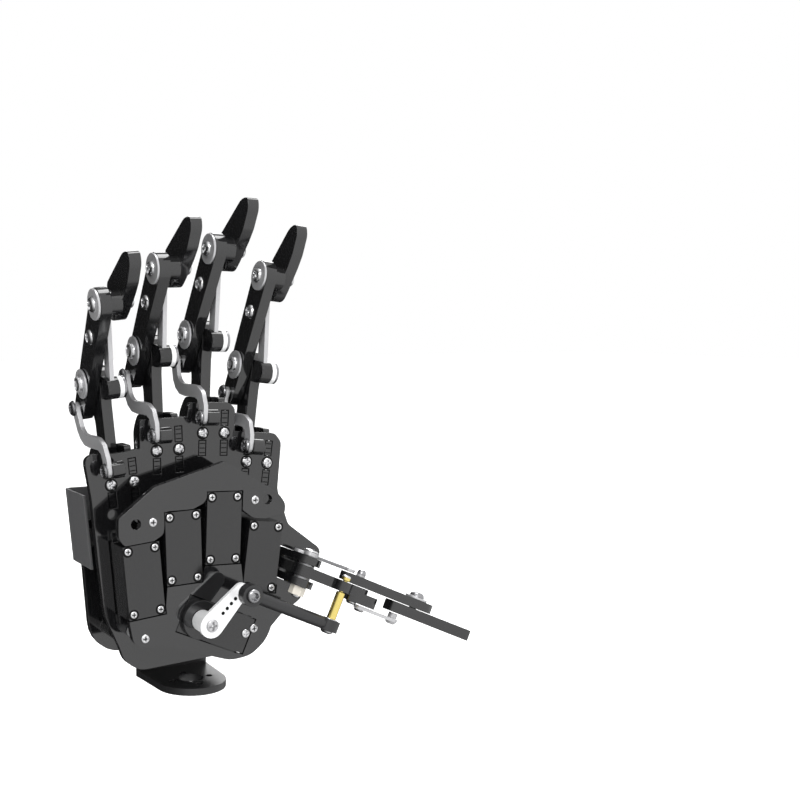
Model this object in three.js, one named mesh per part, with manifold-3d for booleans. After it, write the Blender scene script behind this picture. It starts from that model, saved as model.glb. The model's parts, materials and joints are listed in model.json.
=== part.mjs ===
// Five-fingered prosthetic hand: two palm plates, five servos, four-bar fingers, wrist flange.
// Millimetres. Origin on the wrist hole's axis at the flange's underside, +Z towards the fingers,
// palm towards -Y, thumb towards +X.

import * as THREE from 'three';
import { mergeVertices } from 'three/addons/utils/BufferGeometryUtils.js';
import Module from 'manifold-3d';

const GAP = 0.3;                       // clearance between separate pieces
const PLATE = 3;                       // palm plate thickness
const BACK_PLATE_Y = -9.5;             // front face of the back palm plate
const FRONT_PLATE_Y = -23.6;           // front face of the front palm plates
const REAR_PLATE_Y = 22.3;             // front face of the rear plate
const SERVO = { halfWidth: 7.65, halfLength: 14.6, depth: 28, ear: 4, output: 7 };
const THUMB_TILT = 24;                 // degrees the thumb's frame leans to the right
const FLANGE = { radius: 14.75, halfWidth: 16, tabY: 19, tabTop: 30, bore: 5.2 };
const COVER = { left: -44.6, right: 37.4, front: 2, back: 26.9, bottom: 53, top: 83.3, slant: 0.1 };

// Each finger: knuckle frame origin in the plate's plane, sideways lean, forward lean of the
// middle piece, and its servo's centre and lean.
const FINGERS = [
  { x: -34.2, z: 89.0, lean: -6.0, curl: 37.5, servo: [-30.4, 52.35, -5.3] },
  { x: -14.8, z: 101.2, lean: -1.9, curl: 35.4, servo: [-13.6, 64.05, -1.8] },
  { x: 5.4, z: 107.2, lean: 2.0, curl: 30.5, servo: [3.9, 70.45, 1.8] },
  { x: 25.2, z: 94.2, lean: 6.5, curl: 20.0, servo: [21.5, 57.2, 7.1] },
];

// Finger side view, (y, h) with h along the finger from the frame origin.
const KNUCKLE = [5.5, 1.4];
const LINK_FOOT = [-15.2, 6.7];
const PIP = [6.6, 39.3];
const TIP_LINK_FOOT = [-4, 37.2];
const MIDDLE_LENGTH = 39.5;
const MIDDLE_TAIL = 12.8;
const TIP_LINK_HEAD = [8.3, -1.5];     // from the last pivot, at the reference curl
const REFERENCE_CURL = 30.5;
const SIDE_LEFT = -4.3;                // bracket side plates' centres across the finger
const SIDE_RIGHT = 5.4;
const LAYER = {                        // from and to, across the finger
  knuckleLink: [-7.9, -6.1],
  washer: [-6.7, -5.9],
  middle: [-5.6, -1],
  proximal: [-0.7, 3.7],
  tipLink: [0.8, 2.6],
  fin: [3.5, 8.3],
};
const PIVOT_BORE = 1.85;

// Thumb, in its own plan (t, y) at height a.
const THUMB_BASE = [16, -25.5];
const THUMB_PIP = [35.3, -36.6];
const THUMB_DIP = [61.9, -41.7];
const THUMB_TAIL = [29.9, -35.6];
const THUMB_LINK_FOOT = [17, -14.5];
const THUMB_POST = [26.4, -40.6];
const THUMB_SIDES = [66.6, 57];         // heights of the clevis plates
const THUMB_LAYER = {                  // from and to, along the thumb's hinges
  proximal: [59.6, 64],
  lowerBlock: [57.4, 62],
  middle: [64.3, 68],
  tip: [59.6, 64],
  knuckleLink: [68.4, 69.7],
  tipLink: [55.6, 57],
  rodEye: [43, 47.6],
};
const HORN_AXIS = [-7.0, 34.7];
const HORN_BALL = [5.9, 47.2];
const HORN_ARM = [33.6, 35.4];         // depth of the horn's arm in front of the palm

const wasm = await Module();
wasm.setup();

const rad = THREE.MathUtils.degToRad;
const X = new THREE.Vector3(1, 0, 0);
const Y = new THREE.Vector3(0, 1, 0);
const Z = new THREE.Vector3(0, 0, 1);

const FINISH = {
  black: new THREE.MeshStandardMaterial({ color: 0x202123, roughness: 0.25, metalness: 0.1 }),
  cover: new THREE.MeshStandardMaterial({ color: 0x2c2d2f, roughness: 0.6, metalness: 0.2 }),
  steel: new THREE.MeshStandardMaterial({ color: 0xb4b6ba, roughness: 0.35, metalness: 1 }),
  white: new THREE.MeshStandardMaterial({ color: 0xe4e5e7, roughness: 0.35, metalness: 0.8 }),
  brass: new THREE.MeshStandardMaterial({ color: 0xc79a3c, roughness: 0.3, metalness: 1 }),
  rod: new THREE.MeshStandardMaterial({ color: 0x17181a, roughness: 0.5, metalness: 0 }),
};

// ---- frames: shape x, shape y, extrusion direction ----

function frame(ex, ey, ez, origin) {
  return new THREE.Matrix4().makeBasis(ex, ey, ez).setPosition(...origin);
}

function leaning(degrees) {
  const across = new THREE.Vector3(Math.cos(rad(degrees)), 0, -Math.sin(rad(degrees)));
  const along = new THREE.Vector3(Math.sin(rad(degrees)), 0, Math.cos(rad(degrees)));
  return { across, along };
}

const FRONTAL = frame(X, Z, Y.clone().negate(), [0, 0, 0]);      // depth is -y
const PLAN = frame(X, Y, Z, [0, 0, 0]);
const thumbAxes = leaning(THUMB_TILT);
const THUMB = frame(thumbAxes.across, Y, thumbAxes.along, [0, 0, 0]);

function servoFrame([x, z, lean]) {
  const { across, along } = leaning(lean);
  return frame(across, along, Y.clone().negate(), [x, 0, z]);
}

// ---- outlines ----

function roundedOutline(points, radius) {
  const shape = new THREE.Shape();
  const count = points.length;
  points.forEach(([x, y, own], index) => {
    const corner = new THREE.Vector2(x, y);
    const before = new THREE.Vector2(...points[(index + count - 1) % count]);
    const after = new THREE.Vector2(...points[(index + 1) % count]);
    const size = own ?? radius;
    const cutIn = Math.min(size, corner.distanceTo(before) * 0.45);
    const cutOut = Math.min(size, corner.distanceTo(after) * 0.45);
    const start = corner.clone().add(before.sub(corner).setLength(cutIn));
    const end = corner.clone().add(after.sub(corner).setLength(cutOut));
    if (index === 0) shape.moveTo(start.x, start.y);
    else shape.lineTo(start.x, start.y);
    if (size > 0) shape.quadraticCurveTo(x, y, end.x, end.y);
  });
  shape.closePath();
  return shape;
}

// Bar with round ends of two radii, joined by their common tangents.
function bar([x1, y1], r1, [x2, y2], r2) {
  const heading = Math.atan2(y2 - y1, x2 - x1);
  const spread = Math.acos((r1 - r2) / Math.hypot(x2 - x1, y2 - y1));
  const shape = new THREE.Shape();
  shape.absarc(x2, y2, r2, heading - spread, heading + spread, false);
  shape.absarc(x1, y1, r1, heading + spread, heading + 2 * Math.PI - spread, false);
  shape.closePath();
  return shape;
}

// Strip of constant width along a smooth curve, with round ends.
function strip(points, halfWidth, steps) {
  const curve = new THREE.SplineCurve(points.map(([x, y]) => new THREE.Vector2(x, y)));
  const left = [];
  const right = [];
  for (let step = 0; step <= steps; step += 1) {
    const point = curve.getPoint(step / steps);
    const tangent = curve.getTangent(step / steps);
    const normal = new THREE.Vector2(-tangent.y, tangent.x).multiplyScalar(halfWidth);
    left.push(point.clone().add(normal));
    right.unshift(point.clone().sub(normal));
  }
  const [first, last] = [curve.getPoint(0), curve.getPoint(1)];
  const headingOf = (tangent) => Math.atan2(tangent.y, tangent.x);
  const [startHeading, endHeading] = [headingOf(curve.getTangent(0)), headingOf(curve.getTangent(1))];
  const shape = new THREE.Shape();
  const quarter = Math.PI / 2;
  shape.absarc(first.x, first.y, halfWidth, startHeading + quarter, startHeading + 3 * quarter, false);
  right.reverse().slice(1, -1).forEach((p) => shape.lineTo(p.x, p.y));
  shape.absarc(last.x, last.y, halfWidth, endHeading - quarter, endHeading + quarter, false);
  left.reverse().slice(1, -1).forEach((p) => shape.lineTo(p.x, p.y));
  shape.closePath();
  return shape;
}

// ---- solids ----

function toSolid(geometry) {
  const clean = geometry.clone();
  clean.deleteAttribute('normal');
  clean.deleteAttribute('uv');
  const welded = mergeVertices(clean, 1e-5);
  const data = {
    numProp: 3,
    vertProperties: new Float32Array(welded.attributes.position.array),
    triVerts: new Uint32Array(welded.index.array),
  };
  return new wasm.Manifold(new wasm.Mesh(data));
}

function extrude(matrix, shape, from, to, segments = 3) {
  const settings = { depth: to - from, bevelEnabled: false, curveSegments: segments };
  const geometry = new THREE.ExtrudeGeometry(shape, settings);
  geometry.translate(0, 0, from);
  geometry.applyMatrix4(matrix);
  return toSolid(geometry);
}

function disc(matrix, [x, y], radius, from, to, segments = 12) {
  const geometry = new THREE.CylinderGeometry(radius, radius, to - from, segments);
  geometry.rotateX(Math.PI / 2);
  geometry.translate(x, y, (from + to) / 2);
  geometry.applyMatrix4(matrix);
  return toSolid(geometry);
}

function block(matrix, [x, y], [width, height], from, to) {
  const geometry = new THREE.BoxGeometry(width, height, to - from);
  geometry.translate(x, y, (from + to) / 2);
  geometry.applyMatrix4(matrix);
  return toSolid(geometry);
}

function rodBetween(start, end, radius, segments = 8) {
  const [a, b] = [new THREE.Vector3(...start), new THREE.Vector3(...end)];
  const geometry = new THREE.CylinderGeometry(radius, radius, a.distanceTo(b), segments);
  const turn = new THREE.Quaternion().setFromUnitVectors(Y, b.clone().sub(a).normalize());
  geometry.applyQuaternion(turn);
  geometry.translate(...a.add(b).multiplyScalar(0.5).toArray());
  return toSolid(geometry);
}

const join = (solids) => solids.reduce((sum, solid) => sum.add(solid));
const cut = (solid, cutters) => cutters.reduce((rest, cutter) => rest.subtract(cutter), solid);

const hand = new THREE.Group();
hand.name = 'prosthetic_hand';

function place(name, solid, material) {
  const data = solid.getMesh();
  const geometry = new THREE.BufferGeometry();
  geometry.setAttribute('position', new THREE.BufferAttribute(new Float32Array(data.vertProperties), 3));
  geometry.setIndex(new THREE.BufferAttribute(new Uint32Array(data.triVerts), 1));
  geometry.computeVertexNormals();
  const mesh = new THREE.Mesh(geometry, material);
  mesh.name = name;
  hand.add(mesh);
}

// ---- servos: a case flush with the front plates, reaching through the back plate ----

const caseFront = -FRONT_PLATE_Y - 0.2;
const caseRear = caseFront - SERVO.depth;
const earPlane = -BACK_PLATE_Y + GAP;
const servoWindows = [];

function servoBody(matrix, grow) {
  const size = [2 * (SERVO.halfWidth + grow), 2 * (SERVO.halfLength + grow)];
  return block(matrix, [0, 0], size, caseRear - 4 * grow, caseFront + 4 * grow);
}

FINGERS.forEach((finger, index) => {
  const matrix = servoFrame(finger.servo);
  const earSize = [2 * SERVO.halfWidth - 0.6, 2 * (SERVO.halfLength + SERVO.ear)];
  const parts = [
    servoBody(matrix, 0),
    block(matrix, [0, 0], earSize, earPlane, earPlane + 2.2),
    disc(matrix, [0, SERVO.output], 5, caseRear - 1.4, caseRear + 1),
  ];
  const outlet = disc(matrix, [0, -SERVO.halfLength - 2.2], 1, earPlane - 1, earPlane + 4, 12);
  place(`finger_servo_${index + 1}`, cut(join(parts), [outlet]), FINISH.cover);
  servoWindows.push(servoBody(matrix, 0.35));
});

const thumbServoCentre = [
  HORN_AXIS[0] + 6.95 * Math.cos(rad(THUMB_TILT)),
  HORN_AXIS[1] - 6.95 * Math.sin(rad(THUMB_TILT)),
];
const thumbServoFrame = frame(
  thumbAxes.along.clone().negate(), thumbAxes.across, Y.clone().negate(),
  [thumbServoCentre[0], 0, thumbServoCentre[1]],
);
const thumbEar = [2 * SERVO.halfWidth - 0.6, 3.2];
const thumbEarCentre = [0, SERVO.halfLength + 1.1];
place('thumb_servo', join([
  servoBody(thumbServoFrame, 0),
  block(thumbServoFrame, thumbEarCentre, thumbEar, caseFront - 2.4, caseFront),
  disc(thumbServoFrame, [0, -6.95], 6, caseFront - 1, caseFront + 2.2),
]), FINISH.cover);
servoWindows.push(servoBody(thumbServoFrame, 0.35));
const earWindow = block(
  thumbServoFrame, thumbEarCentre, [thumbEar[0] + 0.7, thumbEar[1] + 0.7], caseFront - 4, caseFront + 2,
);

// ---- palm plates ----

const BACK_OUTLINE = [
  [-49.2, 97.9], [-48.3, 99.9], [-45.4, 101.1], [-36.9, 100.8], [-26.3, 102.3, 0], [-26.3, 113.7],
  [-5.8, 114.3, 0], [-5, 119.9], [12.7, 119.5], [15.7, 117.1], [15.7, 107.5, 0], [34.3, 105.9],
  [37.3, 102.2], [35.7, 82.1], [41, 67], [57.5, 54.6, 3], [48.1, 34.3, 4], [38.3, 28.8],
  [27.9, 18.5, 4], [20.2, 15], [-26.8, 12.4, 3], [-33.6, 17, 4], [-35.4, 22.6], [-41.7, 36.6, 4],
  [-44.2, 58.3], [-46.6, 83.2],
];

const SLOT_HEIGHT = 6.1;

function fingerFrame(finger) {
  const { across, along } = leaning(finger.lean);
  return frame(Y, along, across, [finger.x, 0, finger.z]);
}

const bracketSlots = FINGERS.flatMap((finger) => {
  const matrix = fingerFrame(finger);
  return [SIDE_LEFT, SIDE_RIGHT].flatMap((side) => [SLOT_HEIGHT, -SLOT_HEIGHT].map((height) => (
    block(matrix, [BACK_PLATE_Y + 1.5, height], [8, 6.5], side - 1.7, side + 1.7)
  )));
});

const thumbSlots = THUMB_SIDES.map((height) => block(THUMB, [15, -8], [9.6, 6], height - 1.8, height + 1.8));
const standoffs = [[-26.8, 75.1], [17.7, 80.8], [-30.3, 29.4]];
const plateHoles = [[-33.8, 74.8], [23.4, 80.7]];

place('back_plate', cut(
  extrude(FRONTAL, roundedOutline(BACK_OUTLINE, 1.6), -BACK_PLATE_Y - PLATE, -BACK_PLATE_Y, 3),
  [...servoWindows, ...bracketSlots, ...thumbSlots],
), FINISH.black);

const UPPER_OUTLINE = [
  [-41, 69.7], [-41, 77.4, 1], [-25.7, 89, 1], [-13.2, 92.3, 1], [-3.8, 94.9, 1], [4.4, 97.3],
  [28.7, 82.8, 3], [31.8, 78.4], [31.4, 74.2], [22.5, 72.9, 0], [16.8, 73.6], [11.4, 77.7],
  [12.5, 84.9, 0.5], [-2.6, 85.6, 0.5], [-4.7, 81.2], [-9.9, 79, 0.5], [-21.5, 79], [-22.2, 70.1],
  [-27.2, 67.2, 0.5], [-38.4, 66.4],
];
const LOWER_OUTLINE = [
  [-37.1, 38.2], [-21.6, 38.8, 0.5], [-20.7, 50, 0.5], [-5.9, 50.2, 0.5], [-4.3, 56.5, 0.5],
  [11.4, 56.1, 0.5], [12.4, 47.4, 0.5], [28.6, 45, 1], [30.5, 41, 3], [23.2, 22.5, 4], [16, 17, 3],
  [7, 16, 3], [-19.1, 24.6, 3], [-32.6, 26.2, 3], [-35.2, 28.6],
];

function frontPlate(name, outline, cutters) {
  const plate = extrude(FRONTAL, roundedOutline(outline, 1.5), -FRONT_PLATE_Y - PLATE, -FRONT_PLATE_Y, 3);
  place(name, cut(plate, [...servoWindows, ...cutters]), FINISH.black);
}

frontPlate('front_plate_upper', UPPER_OUTLINE, plateHoles.map((at) => disc(FRONTAL, at, 2.1, 15, 30)));
frontPlate('front_plate_lower', LOWER_OUTLINE, [earWindow]);
standoffs.forEach((at, index) => {
  const depth = [-BACK_PLATE_Y + GAP, -FRONT_PLATE_Y - PLATE - GAP];
  place(`standoff_${index + 1}`, disc(FRONTAL, at, 2.5, ...depth, 12), FINISH.steel);
});

// ---- wrist flange, rear plate and back cover ----

function flangeOutline() {
  const shape = new THREE.Shape();
  const { radius, halfWidth, tabY } = FLANGE;
  shape.moveTo(halfWidth, tabY + PLATE);
  shape.lineTo(-halfWidth, tabY + PLATE);
  shape.lineTo(-radius, 0);
  shape.absarc(0, 0, radius, Math.PI, 2 * Math.PI, false);
  shape.closePath();
  return shape;
}

const flangeTab = [
  [-FLANGE.halfWidth, 0, 0], [-FLANGE.halfWidth, FLANGE.tabTop, 4],
  [FLANGE.halfWidth, FLANGE.tabTop, 4], [FLANGE.halfWidth, 0, 0],
];
const flangeBores = [
  disc(PLAN, [0, 0], FLANGE.bore, -1, PLATE + 1, 20),
  ...[[8.4, 0], [0, 8.4], [-8.4, 0], [0, -8.4]].map((at) => disc(PLAN, at, 1.5, -1, PLATE + 1, 8)),
];
place('wrist_flange', cut(join([
  extrude(PLAN, flangeOutline(), 0, PLATE, 10),
  extrude(FRONTAL, roundedOutline(flangeTab, 4), -FLANGE.tabY - PLATE, -FLANGE.tabY),
]), flangeBores), FINISH.black);

const REAR_OUTLINE = [
  [-28, 12, 6], [20, 12, 6], [27.5, 22, 6], [27.5, 70, 3], [-40.8, 70, 3], [-36.6, 20, 6],
];
place('rear_plate', join([
  extrude(FRONTAL, roundedOutline(REAR_OUTLINE, 4), -REAR_PLATE_Y - PLATE, -REAR_PLATE_Y),
  ...[[-29, 23.5], [20.5, 21]].map((at) => (
    disc(FRONTAL, at, 3, -REAR_PLATE_Y - 0.5, -BACK_PLATE_Y - PLATE - GAP, 14)
  )),
]), FINISH.black);

function coverOutline() {
  const { left, right, front, back } = COVER;
  const [bend, sheet] = [4, 1.2];
  const shape = new THREE.Shape();
  shape.moveTo(left, front);
  shape.lineTo(left + sheet, front);
  shape.absarc(left + bend, back - bend, bend - sheet, Math.PI, Math.PI / 2, true);
  shape.absarc(right - bend, back - bend, bend - sheet, Math.PI / 2, 0, true);
  shape.lineTo(right - sheet, front);
  shape.lineTo(right, front);
  shape.absarc(right - bend, back - bend, bend, 0, Math.PI / 2, false);
  shape.absarc(left + bend, back - bend, bend, Math.PI / 2, Math.PI, false);
  shape.closePath();
  return shape;
}

// The sheet stands straight on the thumb's side and follows the plate's slanting edge on the other.
function coverSheet() {
  const depth = COVER.top - COVER.bottom;
  const settings = { depth, bevelEnabled: false, curveSegments: 3 };
  const geometry = new THREE.ExtrudeGeometry(coverOutline(), settings);
  const spots = geometry.attributes.position;
  for (let index = 0; index < spots.count; index += 1) {
    const share = (COVER.right - spots.getX(index)) / (COVER.right - COVER.left);
    const rise = spots.getZ(index) - depth / 2;
    spots.setX(index, spots.getX(index) - COVER.slant * share * rise);
  }
  geometry.translate(0, 0, COVER.bottom);
  return toSolid(geometry);
}
place('back_cover', coverSheet(), FINISH.cover);

// ---- fingers ----

function pivots(finger) {
  const heading = [-Math.sin(rad(finger.curl)), Math.cos(rad(finger.curl))];
  const along = (distance) => [PIP[0] + heading[0] * distance, PIP[1] + heading[1] * distance];
  const dip = along(MIDDLE_LENGTH);
  const turn = rad(finger.curl - REFERENCE_CURL);
  const carried = ([y, h]) => [
    dip[0] + y * Math.cos(turn) - h * Math.sin(turn),
    dip[1] + y * Math.sin(turn) + h * Math.cos(turn),
  ];
  return { tail: along(-MIDDLE_TAIL), dip, carried };
}

const BRACKET_SIDE = [[-6.2, -10.5], [4, -10.5, 3], [11.5, -4, 3], [11.5, 6.8, 3], [6, 14, 3], [-6.2, 14]];

function bracket(matrix) {
  const side = (centre) => [
    extrude(matrix, roundedOutline(BRACKET_SIDE, 1), centre - 1.4, centre + 1.4, 3),
    ...[SLOT_HEIGHT, -SLOT_HEIGHT].map((height) => (
      block(matrix, [-7.6, height], [3.6, 5.9], centre - 1.35, centre + 1.35)
    )),
  ];
  return join([
    ...side(SIDE_LEFT),
    ...side(SIDE_RIGHT),
    extrude(matrix, bar([-8, SLOT_HEIGHT], 2.9, LINK_FOOT, 3.3), SIDE_LEFT - 1.3, SIDE_LEFT + 1.3),
    block(matrix, [-4.95, -0.75], [2.5, 17.5], SIDE_LEFT, SIDE_RIGHT),
    disc(matrix, KNUCKLE, 2, SIDE_LEFT, SIDE_RIGHT, 10),
  ]);
}

const PROXIMAL_OUTLINE = [
  [1.5, 0, 0], [1.5, 30, 0], [0.9, 34, 1], [0.9, 41, 3], [3.5, 45.7, 4], [10.5, 45.7, 4],
  [15.7, 41, 4], [15.7, 30, 3], [11, 24, 3], [11, 2, 0],
];

function proximal(matrix) {
  const solids = [
    extrude(matrix, roundedOutline(PROXIMAL_OUTLINE, 2), ...LAYER.proximal, 3),
    disc(matrix, KNUCKLE, 5.5, -0.65, 3.65, 16),
    extrude(matrix, bar(KNUCKLE, 4, [15.5, 1.4], 3), -0.6, 3.6),
    disc(matrix, [15.5, 1.4], 1.6, 3, 7, 8),
    extrude(matrix, bar([5.4, 38], 4.5, TIP_LINK_FOOT, 4.5), -0.6, 0.5),
    disc(matrix, TIP_LINK_FOOT, 2.9, 0, 5.3, 12),
    disc(matrix, TIP_LINK_FOOT, 4.3, 5, 7, 14),
  ];
  return cut(join(solids), [
    disc(matrix, KNUCKLE, 2.4, -3, 6, 10),
    disc(matrix, PIP, PIVOT_BORE, -3, 6, 10),
    disc(matrix, TIP_LINK_FOOT, 1.4, 6.2, 9, 8),
  ]);
}

const FIN_OUTLINE = [
  [4.6, -8, 2], [0.6, -4.4, 0], [-6.8, 3.3, 0], [-10.6, 8, 1], [-14.2, 15.2, 1.5], [-13.6, 20, 3],
  [-8, 19.6, 2.5], [9.9, 6.6, 1], [10.6, 5, 1], [9.6, -8, 2.5],
];

FINGERS.forEach((finger, index) => {
  const matrix = fingerFrame(finger);
  const { tail, dip, carried } = pivots(finger);
  const number = index + 1;
  place(`knuckle_bracket_${number}`, bracket(matrix), FINISH.black);
  place(`proximal_${number}`, proximal(matrix), FINISH.black);
  place(`middle_${number}`, cut(extrude(matrix, bar(tail, 5, dip, 6.3), ...LAYER.middle, 5), [
    disc(matrix, PIP, PIVOT_BORE, -7, 0, 10),
    disc(matrix, dip, PIVOT_BORE, -7, 0, 10),
  ]), FINISH.black);
  place(`pip_bolt_${number}`, join([
    disc(matrix, PIP, 1.5, -7, 4.5, 8),
    disc(matrix, PIP, 6, ...LAYER.washer, 16),
    disc(matrix, PIP, 3.2, -8.3, -6.5, 10),
    disc(matrix, PIP, 3, 4, 6, 6),
  ]), FINISH.steel);
  const fin = FIN_OUTLINE.map(([y, h, own]) => [...carried([y, h]), own]);
  place(`fingertip_${number}`, join([
    extrude(matrix, roundedOutline(fin, 1), ...LAYER.fin, 3),
    disc(matrix, dip, 4.9, -0.7, 3.8, 16),
    disc(matrix, dip, 1.5, -5.4, 0, 8),
  ]), FINISH.black);
  const course = [LINK_FOOT, [-14.5, 13.4], [-10, 16.6], [-2, 16.9], [5, 16.9], [9.8, 19.3], [12, 23], tail];
  place(`knuckle_link_${number}`, cut(extrude(matrix, strip(course, 2.5, 10), ...LAYER.knuckleLink, 3), [
    disc(matrix, LINK_FOOT, 1.1, -9, -5, 8),
  ]), FINISH.steel);
  const head = carried(TIP_LINK_HEAD);
  place(`tip_link_${number}`, cut(join([
    extrude(matrix, bar(TIP_LINK_FOOT, 2.6, head, 2.6), ...LAYER.tipLink),
    disc(matrix, TIP_LINK_FOOT, 4.2, ...LAYER.tipLink, 14),
  ]), [disc(matrix, TIP_LINK_FOOT, 3.3, 0, 4, 12)]), FINISH.steel);
});

// ---- horns and push rods behind the fingers ----

const HORN_REACH = 9.2;
const ROD_DEPTH = 11.5;

FINGERS.forEach((finger, index) => {
  const matrix = servoFrame(finger.servo);
  const output = new THREE.Vector3(0, SERVO.output, 0).applyMatrix4(matrix);
  const { across, along } = leaning(finger.lean);
  const hornFrame = frame(across, along, Y.clone().negate(), [output.x, 0, output.z]);
  place(`servo_horn_${index + 1}`, join([
    disc(hornFrame, [0, 0], 4, -9.4, -6.3, 12),
    extrude(hornFrame, bar([0, 0], 4, [HORN_REACH, 0], 3), -9.4, -7.4),
  ]), FINISH.white);
  const foot = new THREE.Vector3(HORN_REACH, 0, 0).applyMatrix4(hornFrame).setY(ROD_DEPTH);
  const lever = new THREE.Vector3(15.5, 1.4, HORN_REACH).applyMatrix4(fingerFrame(finger));
  const bend = lever.clone().addScaledVector(along, -14).setY(ROD_DEPTH);
  place(`push_rod_${index + 1}`, join([
    disc(frame(across, along, Y.clone().negate(), [foot.x, 0, foot.z]), [0, 0], 3.4, -13, -9.9, 10),
    rodBetween(foot.toArray(), bend.toArray(), 1.6),
    rodBetween(bend.toArray(), lever.toArray(), 1.6),
    disc(frame(across, along, Y.clone().negate(), [bend.x, 0, bend.z]), [0, 0], 1.6, -13, -10, 8),
    disc(fingerFrame(finger), [15.5, 1.4], 3.2, 7.3, 11, 10),
  ]), FINISH.rod);
});

// ---- thumb ----

place('thumb_bracket', cut(join([
  ...THUMB_SIDES.flatMap((height) => [
    extrude(THUMB, bar([15, -12], 4.5, THUMB_BASE, 5.4), height - 1.5, height + 1.5),
    block(THUMB, [15, -10], [9, 5.8], height - 1.4, height + 1.4),
  ]),
  block(THUMB, [15, -11.3], [9, 3], 56, 67.6),
]), [disc(THUMB, THUMB_BASE, 1.9, 50, 72, 16)]), FINISH.black);

place('thumb_bolt', join([
  disc(THUMB, THUMB_BASE, 1.6, 54.5, 69, 12),
  disc(THUMB, THUMB_BASE, 3.1, 68.4, 70.2, 16),
  disc(THUMB, THUMB_BASE, 3.2, 51.6, 55.2, 6),
]), FINISH.steel);

place('thumb_proximal', cut(join([
  extrude(THUMB, bar(THUMB_BASE, 5.2, THUMB_PIP, 5.2), ...THUMB_LAYER.proximal),
  extrude(THUMB, bar([29.5, -33.4], 4.5, THUMB_POST, 3.6), 59.7, 63.9),
  extrude(THUMB, bar(THUMB_PIP, 5.2, [40.6, -38.4], 4.6), ...THUMB_LAYER.lowerBlock),
]), [
  disc(THUMB, THUMB_BASE, 1.95, 55, 66, 16),
  disc(THUMB, THUMB_POST, 1.3, 55, 66, 12),
]), FINISH.black);

place('thumb_middle', cut(join([
  extrude(THUMB, bar(THUMB_TAIL, 3.2, THUMB_PIP, 5.1), 64.4, 67.9),
  extrude(THUMB, bar(THUMB_PIP, 5.2, [65, -42.3], 4.7), ...THUMB_LAYER.middle),
]), [disc(THUMB, THUMB_DIP, PIVOT_BORE, 60, 70, 16)]), FINISH.black);

place('thumb_tip', join([
  extrude(THUMB, roundedOutline([
    [49.8, -43.6, 2], [50.6, -36.2, 2], [64, -37, 4], [83, -54.6, 2], [80.5, -59.8, 2], [60, -47, 4],
  ], 3), ...THUMB_LAYER.tip),
  disc(THUMB, THUMB_DIP, 1.5, 63, 69.2, 12),
]), FINISH.black);

place('thumb_knuckle_link', extrude(THUMB, strip([
  THUMB_LINK_FOOT, [22.8, -18.5], [27.5, -26], THUMB_TAIL,
], 2.2, 8), ...THUMB_LAYER.knuckleLink), FINISH.steel);

const thumbTipLink = bar([39, -38.5], 2.6, [54.5, -40.5], 2.6);
place('thumb_tip_link', extrude(THUMB, thumbTipLink, ...THUMB_LAYER.tipLink), FINISH.steel);

place('thumb_post', join([
  disc(THUMB, THUMB_POST, 1.9, 47.9, 59.3, 14),
  disc(THUMB, THUMB_POST, 1.0, 58, 65, 8),
  disc(THUMB, THUMB_POST, 1.9, 64.3, 65.7, 12),
]), FINISH.brass);

const hornY = [-FRONT_PLATE_Y + 2.3, -FRONT_PLATE_Y + 10.5];
place('thumb_horn', join([
  disc(FRONTAL, HORN_AXIS, 4.3, hornY[0], hornY[1], 24),
  extrude(FRONTAL, bar(HORN_AXIS, 5, HORN_BALL, 3.2), ...HORN_ARM, 5),
  disc(FRONTAL, HORN_BALL, 2.4, 35.2, 40.2, 16),
]), FINISH.white);

const ballInner = [HORN_BALL[0], -42.9, HORN_BALL[1]];
const ballOuter = new THREE.Vector3(THUMB_POST[0], THUMB_POST[1], 45.3).applyMatrix4(THUMB).toArray();
place('thumb_rod', join([
  disc(FRONTAL, HORN_BALL, 4.4, 40.6, 45, 16),
  rodBetween(ballInner, ballOuter, 2.5, 12),
  disc(THUMB, THUMB_POST, 4.2, ...THUMB_LAYER.rodEye, 16),
]), FINISH.rod);

export default hand;
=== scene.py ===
"""Looks of the five-fingered servo hand: finishes, screws, washers, studio and camera. Metres."""

import json
import math

import bmesh
import bpy
from mathutils import Matrix, Vector


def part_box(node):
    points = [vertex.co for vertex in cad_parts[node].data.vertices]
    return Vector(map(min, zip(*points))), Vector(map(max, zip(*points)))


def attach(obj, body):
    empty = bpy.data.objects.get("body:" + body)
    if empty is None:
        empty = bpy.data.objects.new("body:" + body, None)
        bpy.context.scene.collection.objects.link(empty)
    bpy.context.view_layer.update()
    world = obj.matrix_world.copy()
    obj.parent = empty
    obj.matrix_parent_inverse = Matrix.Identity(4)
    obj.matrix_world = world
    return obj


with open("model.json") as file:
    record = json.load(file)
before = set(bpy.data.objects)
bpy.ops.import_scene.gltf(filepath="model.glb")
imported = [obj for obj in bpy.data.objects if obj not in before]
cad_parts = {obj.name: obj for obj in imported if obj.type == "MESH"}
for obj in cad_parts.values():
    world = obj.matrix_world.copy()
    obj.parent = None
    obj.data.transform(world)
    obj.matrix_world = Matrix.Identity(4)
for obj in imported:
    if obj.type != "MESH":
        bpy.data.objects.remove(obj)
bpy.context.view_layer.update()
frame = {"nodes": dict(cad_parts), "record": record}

MM = 0.001
NODES = frame["nodes"]
JOINTS = {joint["name"]: joint for joint in frame["record"]["behaviour"]["joints"]}
FINGERS = ("little", "ring", "middle", "index")
Y = Vector((0, 1, 0))
FRONT = Vector((0, -1, 0))


# ---------------------------------------------------------------- finishes

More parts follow.
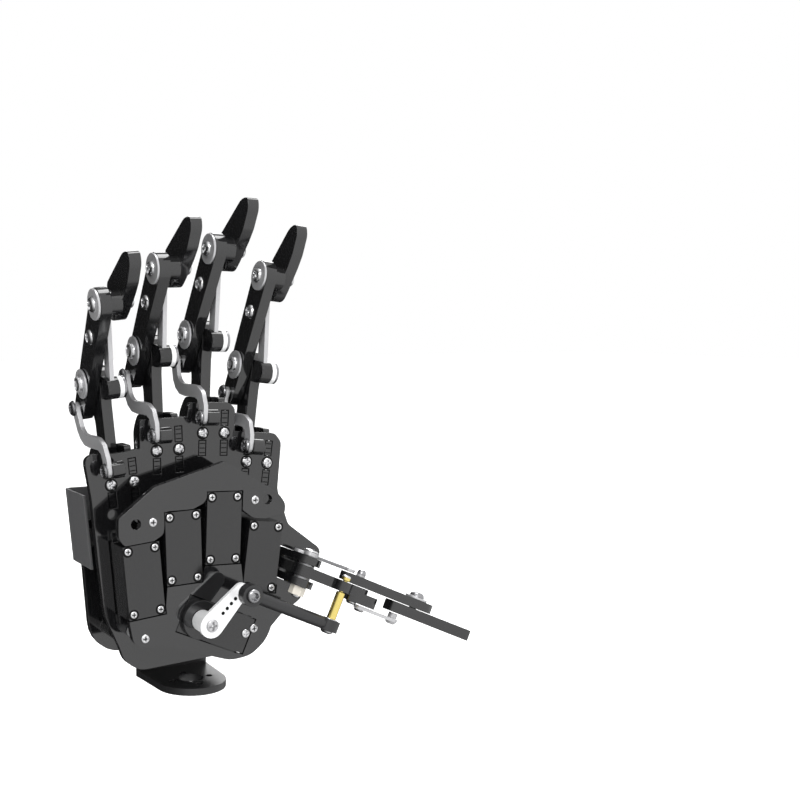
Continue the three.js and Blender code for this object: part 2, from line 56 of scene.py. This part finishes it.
def node_material(name, colour, roughness, metallic=0.0, mottle=0.12, grain=900.0, bump=0.02,
                  stretch=(1, 1, 1), spread=0.06, specular=0.5):
    """A principled finish whose colour, roughness and surface vary a little with a fine noise."""
    material = bpy.data.materials.new(name)
    material.use_nodes = True
    tree = material.node_tree
    shader = tree.nodes["Principled BSDF"]
    shader.inputs["Metallic"].default_value = metallic
    shader.inputs["Specular IOR Level"].default_value = specular
    coords = tree.nodes.new("ShaderNodeTexCoord")
    mapping = tree.nodes.new("ShaderNodeMapping")
    mapping.inputs["Scale"].default_value = stretch
    noise = tree.nodes.new("ShaderNodeTexNoise")
    noise.inputs["Scale"].default_value = grain
    noise.inputs["Detail"].default_value = 4.0
    tint = tree.nodes.new("ShaderNodeValToRGB")
    tint.color_ramp.elements[0].color = (*[c * (1 - mottle) for c in colour], 1)
    tint.color_ramp.elements[1].color = (*[min(1.0, c * (1 + mottle)) for c in colour], 1)
    polish = tree.nodes.new("ShaderNodeMapRange")
    polish.inputs["To Min"].default_value = max(0.02, roughness - spread)
    polish.inputs["To Max"].default_value = roughness + spread
    relief = tree.nodes.new("ShaderNodeBump")
    relief.inputs["Strength"].default_value = bump
    relief.inputs["Distance"].default_value = 0.05 * MM
    links = tree.links
    links.new(coords.outputs["Object"], mapping.inputs["Vector"])
    links.new(mapping.outputs["Vector"], noise.inputs["Vector"])
    links.new(noise.outputs["Fac"], tint.inputs["Fac"])
    links.new(tint.outputs["Color"], shader.inputs["Base Color"])
    links.new(noise.outputs["Fac"], polish.inputs["Value"])
    links.new(polish.outputs["Result"], shader.inputs["Roughness"])
    links.new(noise.outputs["Fac"], relief.inputs["Height"])
    links.new(relief.outputs["Normal"], shader.inputs["Normal"])
    return material


BRUSHED = (1, 1, 0.12)
FINISH = {
    "black_plate": node_material("polished_black", (0.006, 0.006, 0.0065), 0.07, 0, 0.2, 500, 0.006,
                                 spread=0.02, specular=0.9),
    "servo_cover": node_material("servo_black", (0.007, 0.007, 0.0075), 0.13, 0, 0.2, 900, 0.02,
                                 spread=0.03, specular=0.72),
    "steel": node_material("satin_steel", (0.50, 0.50, 0.51), 0.36, 0.6, 0.1, 1500, 0.03, BRUSHED),
    "horn_white": node_material("bright_aluminium", (0.88, 0.885, 0.89), 0.4, 0.4, 0.03, 1200,
                                0.03),
    "brass": node_material("brass_post", (0.84, 0.68, 0.22), 0.16, 1, 0.06, 1500, 0.02),
    "rod_black": node_material("rod_black", (0.012, 0.012, 0.013), 0.34, 0, 0.2, 1200, 0.06,
                               specular=0.6),
    "cover_gray": node_material("anodised_gray", (0.11, 0.11, 0.113), 0.42, 0.3, 0.08, 1600, 0.05),
    "flange_black": node_material("satin_black", (0.012, 0.012, 0.0125), 0.3, 0, 0.2, 1600, 0.04),
}
BRIGHT_SCREW = node_material("bright_screw", (0.74, 0.74, 0.75), 0.22, 1, 0.1, 2200, 0.03)
DARK_SCREW = node_material("dark_steel_screw", (0.34, 0.34, 0.35), 0.26, 1, 0.12, 2200, 0.03)
# Near-black matte for painted shade: dark rings, discs and strips that stand in for the shade
# inside recesses, holes and grooves.
RECESS_SHADE = node_material("painted_recess_shade", (0.003, 0.003, 0.003), 0.7, 0, 0.2, 2000, 0.05, specular=0.15)
CREAM = node_material("nylon_cream", (0.70, 0.66, 0.58), 0.4, 0, 0.05, 1200, 0.03)


WELD_REACH = 0.002      # mm within which doubled corners of a CAD mesh merge
FLAT_ANGLE = 0.6        # degrees below which two facets count as one flat face
SHARP_ANGLE = 50        # degrees above which an edge gets a bevel
PLATE_EDGE = 0.22       # bevel width of plates and cases, mm
FINE_EDGE = 0.12        # bevel width of links and bolts, mm


def dress_node(node, material, edge):
    """A CAD node keeps its shape: its coplanar facets merge and its edges get a fine bevel."""
    thing = NODES[node]
    thing.data.materials.clear()
    thing.data.materials.append(material)
    weld = thing.modifiers.new("weld", "WELD")
    weld.merge_threshold = WELD_REACH * MM
    planar = thing.modifiers.new("planar", "DECIMATE")
    planar.decimate_type = "DISSOLVE"
    planar.angle_limit = math.radians(FLAT_ANGLE)
    bevel = thing.modifiers.new("edge", "BEVEL")
    bevel.width = edge * MM
    bevel.segments = 2
    bevel.limit_method = "ANGLE"
    bevel.angle_limit = math.radians(SHARP_ANGLE)
    bevel.use_clamp_overlap = True
    thing.data.polygons.foreach_set("use_smooth", [True] * len(thing.data.polygons))
    normals = thing.modifiers.new("normals", "WEIGHTED_NORMAL")
    normals.keep_sharp = True
    normals.weight = 80


SLOTS = {entry["node"]: entry["material_slot"] for entry in frame["record"]["subparts"]}
for name, slot_name in SLOTS.items():
    slender = "link" in name or "bolt" in name
    dress_node(name, FINISH[slot_name], FINE_EDGE if slender else PLATE_EDGE)


# ---------------------------------------------------------------- small pieces

def basis(point, axis):
    """Matrix at a point whose local Z is the axis."""
    axis = Vector(axis).normalized()
    helper = Vector((0, 0, 1)) if abs(axis.z) < 0.9 else Vector((1, 0, 0))
    side = helper.cross(axis).normalized()
    up = axis.cross(side)
    return Matrix.Translation(point) @ Matrix((side, up, axis)).transposed().to_4x4()


def lathe(mesh, place, profile, steps, dent=None):
    """Adds a turned solid: profile is (radius, height) in mm from the bottom centre to the top
    centre. dent(x, y) lowers the top by that many mm, which cuts a drive recess."""
    rings = []
    for radius, height in profile:
        if radius == 0:
            drop = dent(0, 0) if dent and height > 0 else 0
            rings.append([mesh.verts.new(place @ Vector((0, 0, (height - drop) * MM)))])
            continue
        ring = []
        for step in range(steps):
            turn = 2 * math.pi * step / steps
            x, y = radius * math.cos(turn), radius * math.sin(turn)
            drop = dent(x, y) if dent and height > 0 else 0
            ring.append(mesh.verts.new(place @ Vector((x * MM, y * MM, (height - drop) * MM))))
        rings.append(ring)
    for low, high in zip(rings, rings[1:]):
        for step in range(steps):
            following = (step + 1) % steps
            if len(low) == 1:
                mesh.faces.new((low[0], high[following], high[step]))
            elif len(high) == 1:
                mesh.faces.new((low[step], low[following], high[0]))
            else:
                mesh.faces.new((low[step], low[following], high[following], high[step]))


def cross_dent(radius):
    """Phillips recess: a cross that gets shallower outwards, in shares of the head's radius."""
    arm_width, arm_length, deepest, slope = 0.14, 0.66, 0.5, 0.6

    def depth(x, y):
        reach = math.hypot(x, y) / radius
        if reach > arm_length or min(abs(x), abs(y)) > arm_width * radius:
            return 0
        return deepest * radius * (1 - reach * slope)
    return depth


def hex_dent(radius):
    """Hexagon socket, in shares of the head's radius."""
    half_flat, deep = 0.5, 0.45

    def depth(x, y):
        turn = math.atan2(y, x) % (math.pi / 3) - math.pi / 6
        return deep * radius if math.hypot(x, y) * math.cos(turn) < half_flat * radius else 0
    return depth


HEAD_RINGS = 12         # rings of faces from a head's rim to its middle
HEAD_SINK = 0.05        # mm that a head's underside sinks into the face it sits on


def dome(radius, height):
    """Profile of a button head, closed underneath."""
    rim = (radius, 0.12 * height + 0.02)
    profile = [(0, -HEAD_SINK), (radius * 0.96, -HEAD_SINK), rim]
    for index in range(1, HEAD_RINGS):
        share = 1 - index / HEAD_RINGS
        profile.append((radius * share, height * math.sqrt(1 - 0.93 * share ** 2)))
    profile.append((0, height))
    return profile


def phillips(mesh, point, axis, radius, height):
    lathe(mesh, basis(point, axis), dome(radius, height), 32, cross_dent(radius))


def button(mesh, point, axis, radius, height):
    lathe(mesh, basis(point, axis), dome(radius, height), 36, hex_dent(radius))


def ring(mesh, point, axis, inner, outer, height):
    """Washer or spacer with eased edges."""
    ease = min(0.12, height * 0.3)
    profile = [
        (inner, 0), (outer - ease, 0), (outer, ease), (outer, height - ease),
        (outer - ease, height), (inner, height), (inner, 0),
    ]
    lathe(mesh, basis(point, axis), profile, 36)


def bar_piece(mesh, centre, across, along, width, height, depth):
    """Thin strip with eased long edges, proud of the palm plate's front."""
    front_share = 0.86
    corners = []
    for level, share in ((0, 1.0), (depth, front_share)):
        for x, z in ((-1, -1), (1, -1), (1, 1), (-1, 1)):
            reach = across * (x * width / 2) + along * (z * height / 2 * share) + FRONT * level
            corners.append(mesh.verts.new(centre + reach * MM))
    low, high = corners[:4], corners[4:]
    mesh.faces.new(low[::-1])
    mesh.faces.new(high)
    for index in range(4):
        following = (index + 1) % 4
        mesh.faces.new((low[index], low[following], high[following], high[index]))


def nut(mesh, point, axis, radius, height):
    """Hexagon nut with a chamfered rim."""
    profile = [
        (0, 0), (radius * 0.94, 0), (radius, 0.12),
        (radius, height - 0.25), (radius * 0.9, height), (0, height),
    ]
    lathe(mesh, basis(point, axis), profile, 6)


SMOOTH_ANGLE = 35       # degrees below which an edge of a small piece is shaded smooth


def piece(name, body, material, build):
    """One named mesh piece on a body, from a function that fills a bmesh."""
    mesh = bmesh.new()
    build(mesh)
    bmesh.ops.remove_doubles(mesh, verts=mesh.verts, dist=0.0005 * MM)
    bmesh.ops.recalc_face_normals(mesh, faces=mesh.faces)
    limit = math.radians(SMOOTH_ANGLE)
    for edge in mesh.edges:
        edge.smooth = edge.is_boundary or edge.calc_face_angle(0) < limit
    for face in mesh.faces:
        face.smooth = True
    data = bpy.data.meshes.new(name)
    mesh.to_mesh(data)
    mesh.free()
    data.materials.append(material)
    thing = bpy.data.objects.new(name, data)
    bpy.context.scene.collection.objects.link(thing)
    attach(thing, body)


# ---------------------------------------------------------------- sizes, in mm

# Screw heads: radius and height.
HEADS = {
    "tip_pivot": (3.0, 1.9),
    "half_way": (3.0, 1.7),
    "middle_bolt": (3.3, 2.4),
    "link": (3.0, 1.5),
    "pivot": (2.8, 1.5),
    "stub": (3.0, 1.2),
    "bracket": (2.15, 1.1),
    "cover": (1.35, 0.35),
    "plate": (1.75, 0.7),
    "horn": (2.6, 1.2),
    "thumb_base": (3.2, 1.2),
    "thumb_pip": (1.9, 2.5),
    "thumb_dip": (3.1, 2.5),
    "thumb_lower": (2.2, 1.4),
    "thumb_stub": (2.2, 1.2),
    "thumb_rod": (2.6, 1.5),
    "thumb_post": (1.9, 1.1),
    "thumb_bolt_end": (1.7, 1.3),
}

# Washers, sleeves, and dark rings painted as the shade in recesses: inner radius, outer radius and
# height.
RINGS = {
    "tip_pivot": (1.4, 6.0, 1.0),
    "link": (1.3, 3.2, 0.5),
    "link_tail": (1.3, 2.6, 0.45),
    "link_foot": (1.2, 3.25, 5.2),
    "stub_sleeve": (4.24, 4.45, 4.8),
    "stub_ring": (2.95, 4.45, 1.9),
    "stub_washer": (1.3, 4.42, 1.1),
    "bracket_shade_ring": (2.0, 2.65, 0.15),
    "cover_shade_ring": (1.36, 2.1, 0.12),
    "flange_rim": (5.25, 6.1, 0.35),
    "servo_collar": (4.6, 7.9, 2.3),
    "thumb_pip": (1.5, 1.9, 0.9),
    "thumb_dip": (1.5, 4.6, 0.9),
    "thumb_rod": (1.6, 3.0, 0.3),
    "thumb_pin": (0.6, 1.9, 2.2),
}

# Faces across a finger that the small pieces sit on.
MIDDLE_FACE = -5.6
MIDDLE_BOLT_FACE = -6.7
LINK_FACE = -7.9
LINK_HEAD_FACE = -8.35
TAIL_FACE = -5.65
FOOT_FACE = -6.0
PIVOT_FACES = (-5.7, 6.8)
STUB_FACE = {"sleeve": -0.4, "ring": 4.35, "washer": 6.2, "head": 7.25}
TIP_FACE = 8.3
OVERLAP = 0.02          # how far a piece reaches into the face it sits on

# Along a finger's middle plate, from its lower pivot.
MIDDLE_TAIL = 12.8
HALF_WAY = 23.7

# Palm side of the knuckle brackets, from the knuckle pivot: across, back and along.
BRACKET_SIDES = (-4.3, 5.4)
BRACKET_SCREW_LEVEL = -1.4
TAB_FACE = -15.0
SEAT_FACE = -14.95
OPEN_TABS = ((-4.3, -7.5), (5.4, 4.7), (5.4, -7.5))
TOOTH = (2.2, 0.35, 0.06)
TOOTH_PITCH = 1.9


# ---------------------------------------------------------------- frames from the joints

def pivots(prefix, joints):
    """Pivot points by short name, from the joints of one finger or of the thumb."""
    return {key: Vector(JOINTS[f"{prefix}_{joint}"]["pos_m"]) for key, joint in joints.items()}


def finger_frame(name):
    """Pivot points and the across and along directions of a finger, from its joints."""
    across = Vector(JOINTS[f"{name}_knuckle"]["axis"])
    along = across.cross(Y)
    point = pivots(name, {
        "knuckle": "knuckle", "pip": "middle_joint", "dip": "tip_joint",
        "foot": "knuckle_link_pivot", "stub": "tip_link_pivot",
    })
    return across, along, point


def at(point, across, along, s=0.0, y=0.0, h=0.0):
    """A point s mm across, y mm back and h mm along from a pivot."""
    return point + (across * s + Y * y + along * h) * MM


def dress_finger(name):
    across, along, point = finger_frame(name)
    left = -across
    reach = (point["dip"] - point["pip"]).normalized()
    tail = point["pip"] - reach * MIDDLE_TAIL * MM
    half_way = point["pip"] + reach * HALF_WAY * MM

    def beside(spot, face):
        return spot + across * face * MM

    def middle_washers(mesh):
        ring(mesh, beside(point["dip"], MIDDLE_FACE + OVERLAP), left, *RINGS["tip_pivot"])

    def middle_heads(mesh):
        washer_top = MIDDLE_FACE - RINGS["tip_pivot"][2]
        button(mesh, beside(point["dip"], washer_top), left, *HEADS["tip_pivot"])
        button(mesh, beside(half_way, MIDDLE_FACE + OVERLAP), left, *HEADS["half_way"])

    piece(f"{name}_middle_washers", f"{name}_middle", FINISH["steel"], middle_washers)
    piece(f"{name}_middle_heads", f"{name}_middle", BRIGHT_SCREW, middle_heads)

    def bolt_head(mesh):
        button(mesh, beside(point["pip"], MIDDLE_BOLT_FACE), left, *HEADS["middle_bolt"])

    piece(f"{name}_bolt_head", f"{name}_proximal", BRIGHT_SCREW, bolt_head)

    def link_heads(mesh):
        for spot in (point["foot"], tail):
            ring(mesh, beside(spot, LINK_FACE + OVERLAP), left, *RINGS["link"])
            button(mesh, beside(spot, LINK_HEAD_FACE), left, *HEADS["link"])
        ring(mesh, beside(tail, TAIL_FACE), left, *RINGS["link_tail"])

    piece(f"{name}_link_heads", f"{name}_knuckle_link", DARK_SCREW, link_heads)

    def foot_boss(mesh):
        ring(mesh, beside(point["foot"], FOOT_FACE), across, *RINGS["link_foot"])

    piece(f"{name}_foot_boss", "palm", FINISH["black_plate"], foot_boss)

    def bracket_screws(mesh):
        for side in BRACKET_SIDES:
            spot = at(point["knuckle"], across, along, side, TAB_FACE, BRACKET_SCREW_LEVEL)
            phillips(mesh, spot, FRONT, *HEADS["bracket"])

    # Dark rings under the bracket screws, painted as the shade in their seats.
    def bracket_shade_rings(mesh):
        for side in BRACKET_SIDES:
            spot = at(point["knuckle"], across, along, side, SEAT_FACE, BRACKET_SCREW_LEVEL)
            ring(mesh, spot, FRONT, *RINGS["bracket_shade_ring"])

    piece(f"{name}_bracket_screws", "palm", BRIGHT_SCREW, bracket_screws)
    piece(f"{name}_bracket_shade_rings", "palm", RECESS_SHADE, bracket_shade_rings)

    # Thin dark strips on the open tabs, painted as the shade in the grooves of their combs.
    def tab_comb_shades(mesh):
        for side, level in OPEN_TABS:
            for tooth in (-1, 0, 1):
                height = level + tooth * TOOTH_PITCH
                spot = at(point["knuckle"], across, along, side, TAB_FACE, height)
                bar_piece(mesh, spot, across, along, *TOOTH)

    piece(f"{name}_tab_comb_shades", "palm", RECESS_SHADE, tab_comb_shades)

    def pivot_screws(mesh):
        for face, way in zip(PIVOT_FACES, (left, across)):
            button(mesh, beside(point["knuckle"], face), way, *HEADS["pivot"])

    piece(f"{name}_pivot_screws", "palm", BRIGHT_SCREW, pivot_screws)

    def stub_sleeve(mesh):
        ring(mesh, beside(point["stub"], STUB_FACE["sleeve"]), across, *RINGS["stub_sleeve"])

    def stub_ring(mesh):
        ring(mesh, beside(point["stub"], STUB_FACE["ring"]), across, *RINGS["stub_ring"])

    def stub_screw(mesh):
        ring(mesh, beside(point["stub"], STUB_FACE["washer"]), across, *RINGS["stub_washer"])
        button(mesh, beside(point["stub"], STUB_FACE["head"]), across, *HEADS["stub"])

    piece(f"{name}_stub_sleeve", f"{name}_proximal", FINISH["servo_cover"],
          stub_sleeve)
    piece(f"{name}_stub_ring", f"{name}_proximal", FINISH["horn_white"], stub_ring)
    piece(f"{name}_stub_screw", f"{name}_proximal", DARK_SCREW, stub_screw)

    def tip_screw(mesh):
        button(mesh, beside(point["dip"], TIP_FACE), across, *HEADS["pivot"])

    piece(f"{name}_tip_screw", f"{name}_tip", BRIGHT_SCREW, tip_screw)


for finger in FINGERS:
    dress_finger(finger)


# ---------------------------------------------------------------- palm screws

# Screw spacing across and along a servo cover, in mm, and each servo's lean in degrees.
COVER_SCREW_SPACING = (11.3, 25.0)
SERVOS = {
    "finger_servo_1": -5.3, "finger_servo_2": -1.8,
    "finger_servo_3": 1.8, "finger_servo_4": 7.1,
}
COVER_HEAD_LIFT = 0.02          # mm in front of the cover
COVER_SHADE_SINK = 0.05        # mm that the painted shade ring around each cover screw sits behind the cover's front

PLATE_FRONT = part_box("front_plate_lower")[0][1]
PLATE_SCREWS = ((-26.8, 75.1), (17.7, 80.8), (-30.3, 29.4), (13.6, 26.3), (17.3, 28.0))
RIM_LEVEL = 2.9                 # mm above the flange's underside


def cover_spots(node, lean):
    """The four screw places on the front of a leaning servo cover."""
    low, high = (Vector(corner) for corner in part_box(node))
    centre = (low + high) / 2
    turn = math.radians(lean)
    across = Vector((math.cos(turn), 0, -math.sin(turn)))
    along = Vector((math.sin(turn), 0, math.cos(turn)))
    wide, tall = COVER_SCREW_SPACING
    for side in (-0.5, 0.5):
        for end in (-0.5, 0.5):
            spot = centre + (across * side * wide + along * end * tall) * MM
            yield Vector((spot.x, low.y, spot.z))


def cover_screws(mesh):
    for node, lean in SERVOS.items():
        for spot in cover_spots(node, lean):
            phillips(mesh, spot + FRONT * COVER_HEAD_LIFT * MM, FRONT, *HEADS["cover"])


# A dark ring around each cover screw, painted as the shade inside its recess.
def cover_shade_rings(mesh):
    for node, lean in SERVOS.items():
        for spot in cover_spots(node, lean):
            ring(mesh, spot - FRONT * COVER_SHADE_SINK * MM, FRONT, *RINGS["cover_shade_ring"])


def plate_screws(mesh):
    for x, z in PLATE_SCREWS:
        phillips(mesh, Vector((x * MM, PLATE_FRONT, z * MM)), FRONT, *HEADS["plate"])


def flange_rim(mesh):
    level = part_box("wrist_flange")[0][2] + RIM_LEVEL * MM
    ring(mesh, Vector((0, 0, level)), (0, 0, 1), *RINGS["flange_rim"])


piece("cover_screws", "palm", BRIGHT_SCREW, cover_screws)
piece("cover_shade_rings", "palm", RECESS_SHADE, cover_shade_rings)
piece("plate_screws", "palm", BRIGHT_SCREW, plate_screws)
piece("flange_rim", "palm", FINISH["flange_black"], flange_rim)


# ---------------------------------------------------------------- thumb

HORN_BALL = (5.9, 0, 47.2)      # ball stud's centre in the palm's plane, mm
HORN_ARM_FACE = -35.4           # front of the horn's arm, mm
HORN_HOLE_SHADE = (0.75, 0.05)        # radius and height of the dark disc painted as the shade inside a hole, mm
HORN_SHADE_SHARES = (0.36, 0.5, 0.64, 0.78)
LINK_LENGTH = (15.5, -2.0)      # far end of the thumb's tip link, along and back from its pivot, mm
COLLAR_SINK = 0.1               # mm that the servo's collar sinks into the front plate
EYE_SINK = 0.05                 # mm that the ball's screw sinks into the rod's eye

# Faces that the thumb's small pieces sit on, in mm along its hinges.
THUMB_FACE = {
    "base_head": 70.2, "head": 68.9, "washer": 68.02, "lower_head": 57.4, "stub_head": 55.5,
    "rod_head": 42.95, "rod_washer": 47.55, "post_head": 65.6,
    "nut": 55.3, "bolt_end": 51.5, "pin": 57.05, "pin_head": 55.55,
}
BASE_RING = (1.75, 3.4)                         # inner and outer radius
BASE_RINGS = ((58.6, 0.85), (64.1, 0.8))        # level and height
BASE_NUT = (3.35, 3.8)                          # radius and height


def thumb_frame():
    """Pivot points of the thumb, its hinges' upward direction and the direction along it."""
    up = -Vector(JOINTS["thumb_base"]["axis"])
    along = Y.cross(up)
    point = pivots("thumb", {
        "base": "base", "pip": "middle_joint", "dip": "tip_joint", "stub": "tip_link_pivot",
    })
    return up, along, point


def dress_thumb():
    up, along, point = thumb_frame()
    down = -up

    def raised(spot, level):
        """The same pivot at another level along the thumb's hinges, in mm."""
        return spot + up * (level * MM - spot.dot(up))

    def lifted(spot, face):
        return raised(spot, THUMB_FACE[face])

    def base_head(mesh):
        button(mesh, lifted(point["base"], "base_head"), up, *HEADS["thumb_base"])

    def base_rings(mesh):
        for level, height in BASE_RINGS:
            ring(mesh, raised(point["base"], level), up, *BASE_RING, height)

    def joint_heads(mesh):
        for key in ("pip", "dip"):
            button(mesh, lifted(point[key], "head"), up, *HEADS[f"thumb_{key}"])

    def joint_washers(mesh):
        for key in ("pip", "dip"):
            ring(mesh, lifted(point[key], "washer"), up, *RINGS[f"thumb_{key}"])

    def lower_screws(mesh):
        button(mesh, lifted(point["pip"], "lower_head"), down, *HEADS["thumb_lower"])
        button(mesh, lifted(point["stub"], "stub_head"), down, *HEADS["thumb_stub"])

    piece("thumb_base_head", "palm", BRIGHT_SCREW, base_head)
    piece("thumb_base_rings", "palm", FINISH["steel"], base_rings)
    piece("thumb_joint_heads", "thumb_middle", DARK_SCREW, joint_heads)
    piece("thumb_joint_washers", "thumb_middle", FINISH["steel"], joint_washers)
    piece("thumb_lower_screws", "thumb_proximal", BRIGHT_SCREW, lower_screws)

    low, high = (Vector(corner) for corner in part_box("thumb_post"))
    post = (low + high) / 2

    def rod_screw(mesh):
        button(mesh, lifted(post, "rod_head"), down, *HEADS["thumb_rod"])
        ring(mesh, lifted(post, "rod_washer"), up, *RINGS["thumb_rod"])

    def post_head(mesh):
        button(mesh, lifted(post, "post_head"), up, *HEADS["thumb_post"])

    piece("thumb_rod_screw", "thumb_rod", BRIGHT_SCREW, rod_screw)
    piece("thumb_post_head", "thumb_proximal", BRIGHT_SCREW, post_head)

    hub = Vector(JOINTS["thumb_horn_turn"]["pos_m"])
    ball = Vector(HORN_BALL) * MM
    arm = ball - Vector((hub.x, ball.y, hub.z))
    arm_hub = Vector((hub.x, HORN_ARM_FACE * MM, hub.z))

    def horn_screw(mesh):
        phillips(mesh, arm_hub, FRONT, *HEADS["horn"])

    # Dark discs along the horn's arm, painted as the shade seen through its holes.
    def horn_hole_shades(mesh):
        radius, height = HORN_HOLE_SHADE
        for share in HORN_SHADE_SHARES:
            spot = arm_hub - FRONT * OVERLAP * MM + arm * share
            disc = [(0, 0), (radius, 0), (radius, height), (0, height)]
            lathe(mesh, basis(spot, FRONT), disc, 16)

    def rod_ball(mesh):
        spot = Vector((ball.x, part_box("thumb_rod")[0][1] + EYE_SINK * MM, ball.z))
        button(mesh, spot, FRONT, *HEADS["pivot"])

    def servo_collar(mesh):
        spot = Vector((hub.x, PLATE_FRONT + COLLAR_SINK * MM, hub.z))
        ring(mesh, spot, FRONT, *RINGS["servo_collar"])

    piece("thumb_servo_collar", "palm", FINISH["servo_cover"], servo_collar)
    piece("thumb_horn_screw", "thumb_horn", FINISH["steel"], horn_screw)
    piece("thumb_horn_hole_shades", "thumb_horn", RECESS_SHADE, horn_hole_shades)
    piece("thumb_rod_ball", "thumb_rod", DARK_SCREW, rod_ball)

    def base_nut(mesh):
        nut(mesh, lifted(point["base"], "nut"), down, *BASE_NUT)

    def base_bolt_end(mesh):
        button(mesh, lifted(point["base"], "bolt_end"), down, *HEADS["thumb_bolt_end"])

    def link_pin(mesh):
        spot = point["stub"] + along * LINK_LENGTH[0] * MM + Y * LINK_LENGTH[1] * MM
        ring(mesh, lifted(spot, "pin"), up, *RINGS["thumb_pin"])
        button(mesh, lifted(spot, "pin_head"), down, *HEADS["thumb_stub"])

    piece("thumb_base_nut", "palm", CREAM, base_nut)
    piece("thumb_base_bolt_end", "palm", BRIGHT_SCREW, base_bolt_end)
    piece("thumb_link_pin", "thumb_tip_link", FINISH["steel"], link_pin)


dress_thumb()


# ---------------------------------------------------------------- studio

SOFTBOX_SIDE = (0.45, -0.80, 0.40)     # the studio is bright towards this side and dark behind
SURROUND_STRENGTH = 1.15
# How bright the surround is, from straight away from the softbox side (0) to straight at it (1).
SURROUND_STOPS = ((0.0, 0.02), (0.22, 0.05), (0.45, 0.30), (0.62, 0.85), (1.0, 1.0))
FLOOR_LEVEL = -30 * MM
FLOOR_REACH = 4.0                      # metres from the middle to each side
FLOOR_GLOW = 0.55


def studio_world():
    """White to the camera; for light and reflections, bright in front and dark behind."""
    world = bpy.data.worlds.new("studio")
    world.use_nodes = True
    tree = world.node_tree
    links = tree.links
    background = tree.nodes["Background"]
    background.inputs["Color"].default_value = (1, 1, 1, 1)
    background.inputs["Strength"].default_value = 1.0
    coords = tree.nodes.new("ShaderNodeTexCoord")
    towards = tree.nodes.new("ShaderNodeVectorMath")
    towards.operation = "DOT_PRODUCT"
    towards.inputs[1].default_value = Vector(SOFTBOX_SIDE).normalized()
    spread = tree.nodes.new("ShaderNodeMapRange")
    spread.inputs["From Min"].default_value = -1.0
    ramp = tree.nodes.new("ShaderNodeValToRGB")
    while len(ramp.color_ramp.elements) < len(SURROUND_STOPS):
        ramp.color_ramp.elements.new(0.5)
    for element, (place, level) in zip(ramp.color_ramp.elements, SURROUND_STOPS):
        element.position = place
        element.color = (level, level, level, 1)
    surround = tree.nodes.new("ShaderNodeBackground")
    surround.inputs["Strength"].default_value = SURROUND_STRENGTH
    seen = tree.nodes.new("ShaderNodeLightPath")
    blend = tree.nodes.new("ShaderNodeMixShader")
    links.new(coords.outputs["Generated"], towards.inputs[0])
    links.new(towards.outputs["Value"], spread.inputs["Value"])
    links.new(spread.outputs["Result"], ramp.inputs["Fac"])
    links.new(ramp.outputs["Color"], surround.inputs["Color"])
    links.new(seen.outputs["Is Camera Ray"], blend.inputs["Fac"])
    links.new(surround.outputs["Background"], blend.inputs[1])
    links.new(background.outputs["Background"], blend.inputs[2])
    links.new(blend.outputs["Shader"], tree.nodes["World Output"].inputs["Surface"])
    bpy.context.scene.world = world


def floor():
    turns = ((-1, -1), (1, -1), (1, 1), (-1, 1))
    corners = [(x * FLOOR_REACH, y * FLOOR_REACH, 0) for x, y in turns]
    mesh = bpy.data.meshes.new("floor")
    mesh.from_pydata(corners, [], [(0, 1, 2, 3)])
    pale = node_material("pale_floor", (0.9, 0.9, 0.9), 0.8, 0, 0.01, 30, 0.0, specular=0.1)
    shader = pale.node_tree.nodes["Principled BSDF"]
    shader.inputs["Emission Color"].default_value = (1, 1, 1, 1)
    shader.inputs["Emission Strength"].default_value = FLOOR_GLOW
    mesh.materials.append(pale)
    ground = bpy.data.objects.new("floor", mesh)
    ground.location.z = FLOOR_LEVEL
    ground.visible_glossy = False
    bpy.context.scene.collection.objects.link(ground)


# Name, place in metres, disc size in metres and power in watts.
LIGHTS = (
    ("key", (-0.35, -0.75, 0.75), 0.6, 5.0),
    ("top", (0.25, 0.05, 0.95), 0.5, 3.5),
    ("rim", (0.5, 0.8, 0.5), 0.5, 2.5),
)
LIT_POINT = Vector((0, 0, 0.1))


def studio():
    bpy.context.scene.view_settings.view_transform = "Standard"
    studio_world()
    floor()
    for name, position, size, power in LIGHTS:
        data = bpy.data.lights.new(name, "AREA")
        data.shape = "DISK"
        data.size = size
        data.energy = power
        light = bpy.data.objects.new(name, data)
        light.matrix_world = basis(Vector(position), Vector(position) - LIT_POINT)
        bpy.context.scene.collection.objects.link(light)


# The viewpoint: in front of the palm and to its left, a little above its middle.
EYE = (-203.37, -445.22, 155.60)        # mm
EYE_RIGHT = (0.89342, -0.44922, 0.00229)
EYE_UP = (0.04924, 0.10299, 0.99346)
EYE_BACK = (-0.44652, -0.88747, 0.11413)
LENS = 53.86                            # mm, on a sensor 36 mm wide
LENS_SHIFT = (0.2058, 0.0630)


def camera():
    data = bpy.data.cameras.new("camera")
    data.lens = LENS
    data.sensor_width = 36
    data.shift_x, data.shift_y = LENS_SHIFT
    data.clip_start = 0.01
    eye = bpy.data.objects.new("camera", data)
    turn = Matrix((EYE_RIGHT, EYE_UP, EYE_BACK)).transposed().to_4x4()
    eye.matrix_world = Matrix.Translation(Vector(EYE) * MM) @ turn
    bpy.context.scene.collection.objects.link(eye)
    bpy.context.scene.camera = eye


studio()
camera()
